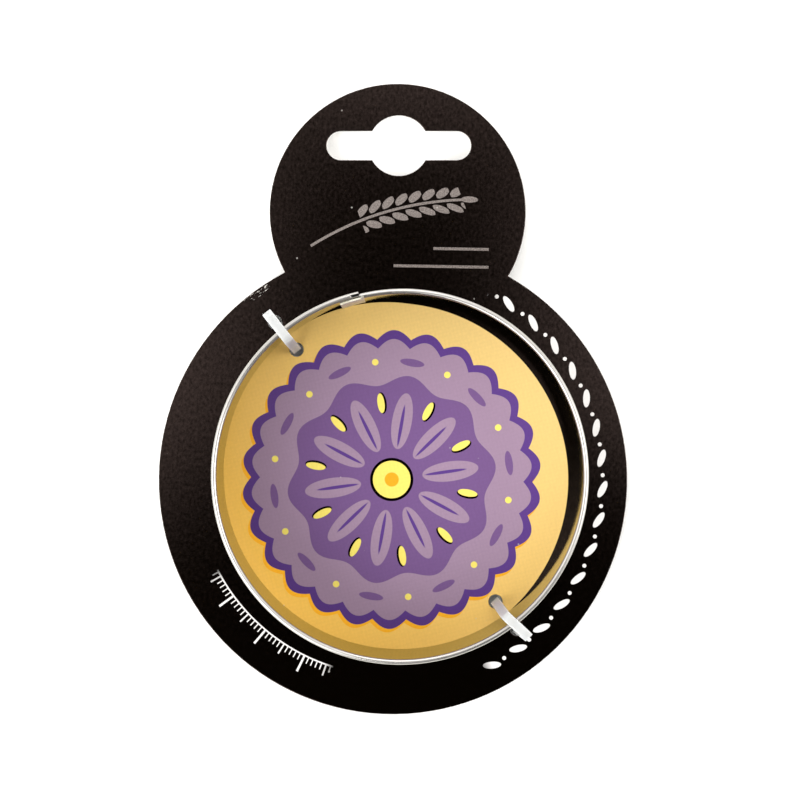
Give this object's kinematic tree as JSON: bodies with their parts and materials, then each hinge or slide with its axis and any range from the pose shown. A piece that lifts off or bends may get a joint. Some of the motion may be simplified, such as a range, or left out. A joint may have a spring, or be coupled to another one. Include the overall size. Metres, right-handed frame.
{
  "type": "biscuit cutter",
  "caption": "Round steel biscuit cutter with a rolled rim and lapped seam, tied to a two-lobed hanging card by two cable ties; the ring can turn under its ties.",
  "frame": {"origin": "middle of the footprint, on the surface that the part lies on with its printed face up", "axes": "+Z out of the card's printed face and up the cutter's axis, +Y from the card's round towards its hanging lobe, +X to the right of the print"},
  "size_m": [0.0996, 0.1342, 0.0301],
  "materials": {
    "stainless_band": "polished",
    "weld_metal": "satin",
    "printed_board": "satin",
    "natural_nylon": "satin"
  },
  "bodies": {
    "card": {"hang_card": "printed_board", "upper_left_tie": "natural_nylon", "lower_right_tie": "natural_nylon"},
    "cutter": {"cutter_band": "stainless_band", "seam_spot_welds": "weld_metal"}
  },
  "joints": [
    {"name": "cutter_turn", "type": "hinge", "parent": "card", "child": "cutter", "pos_m": [0.00145, -0.01565, 0.0038], "axis": [0, 0, 1], "continuous": true}
  ]
}
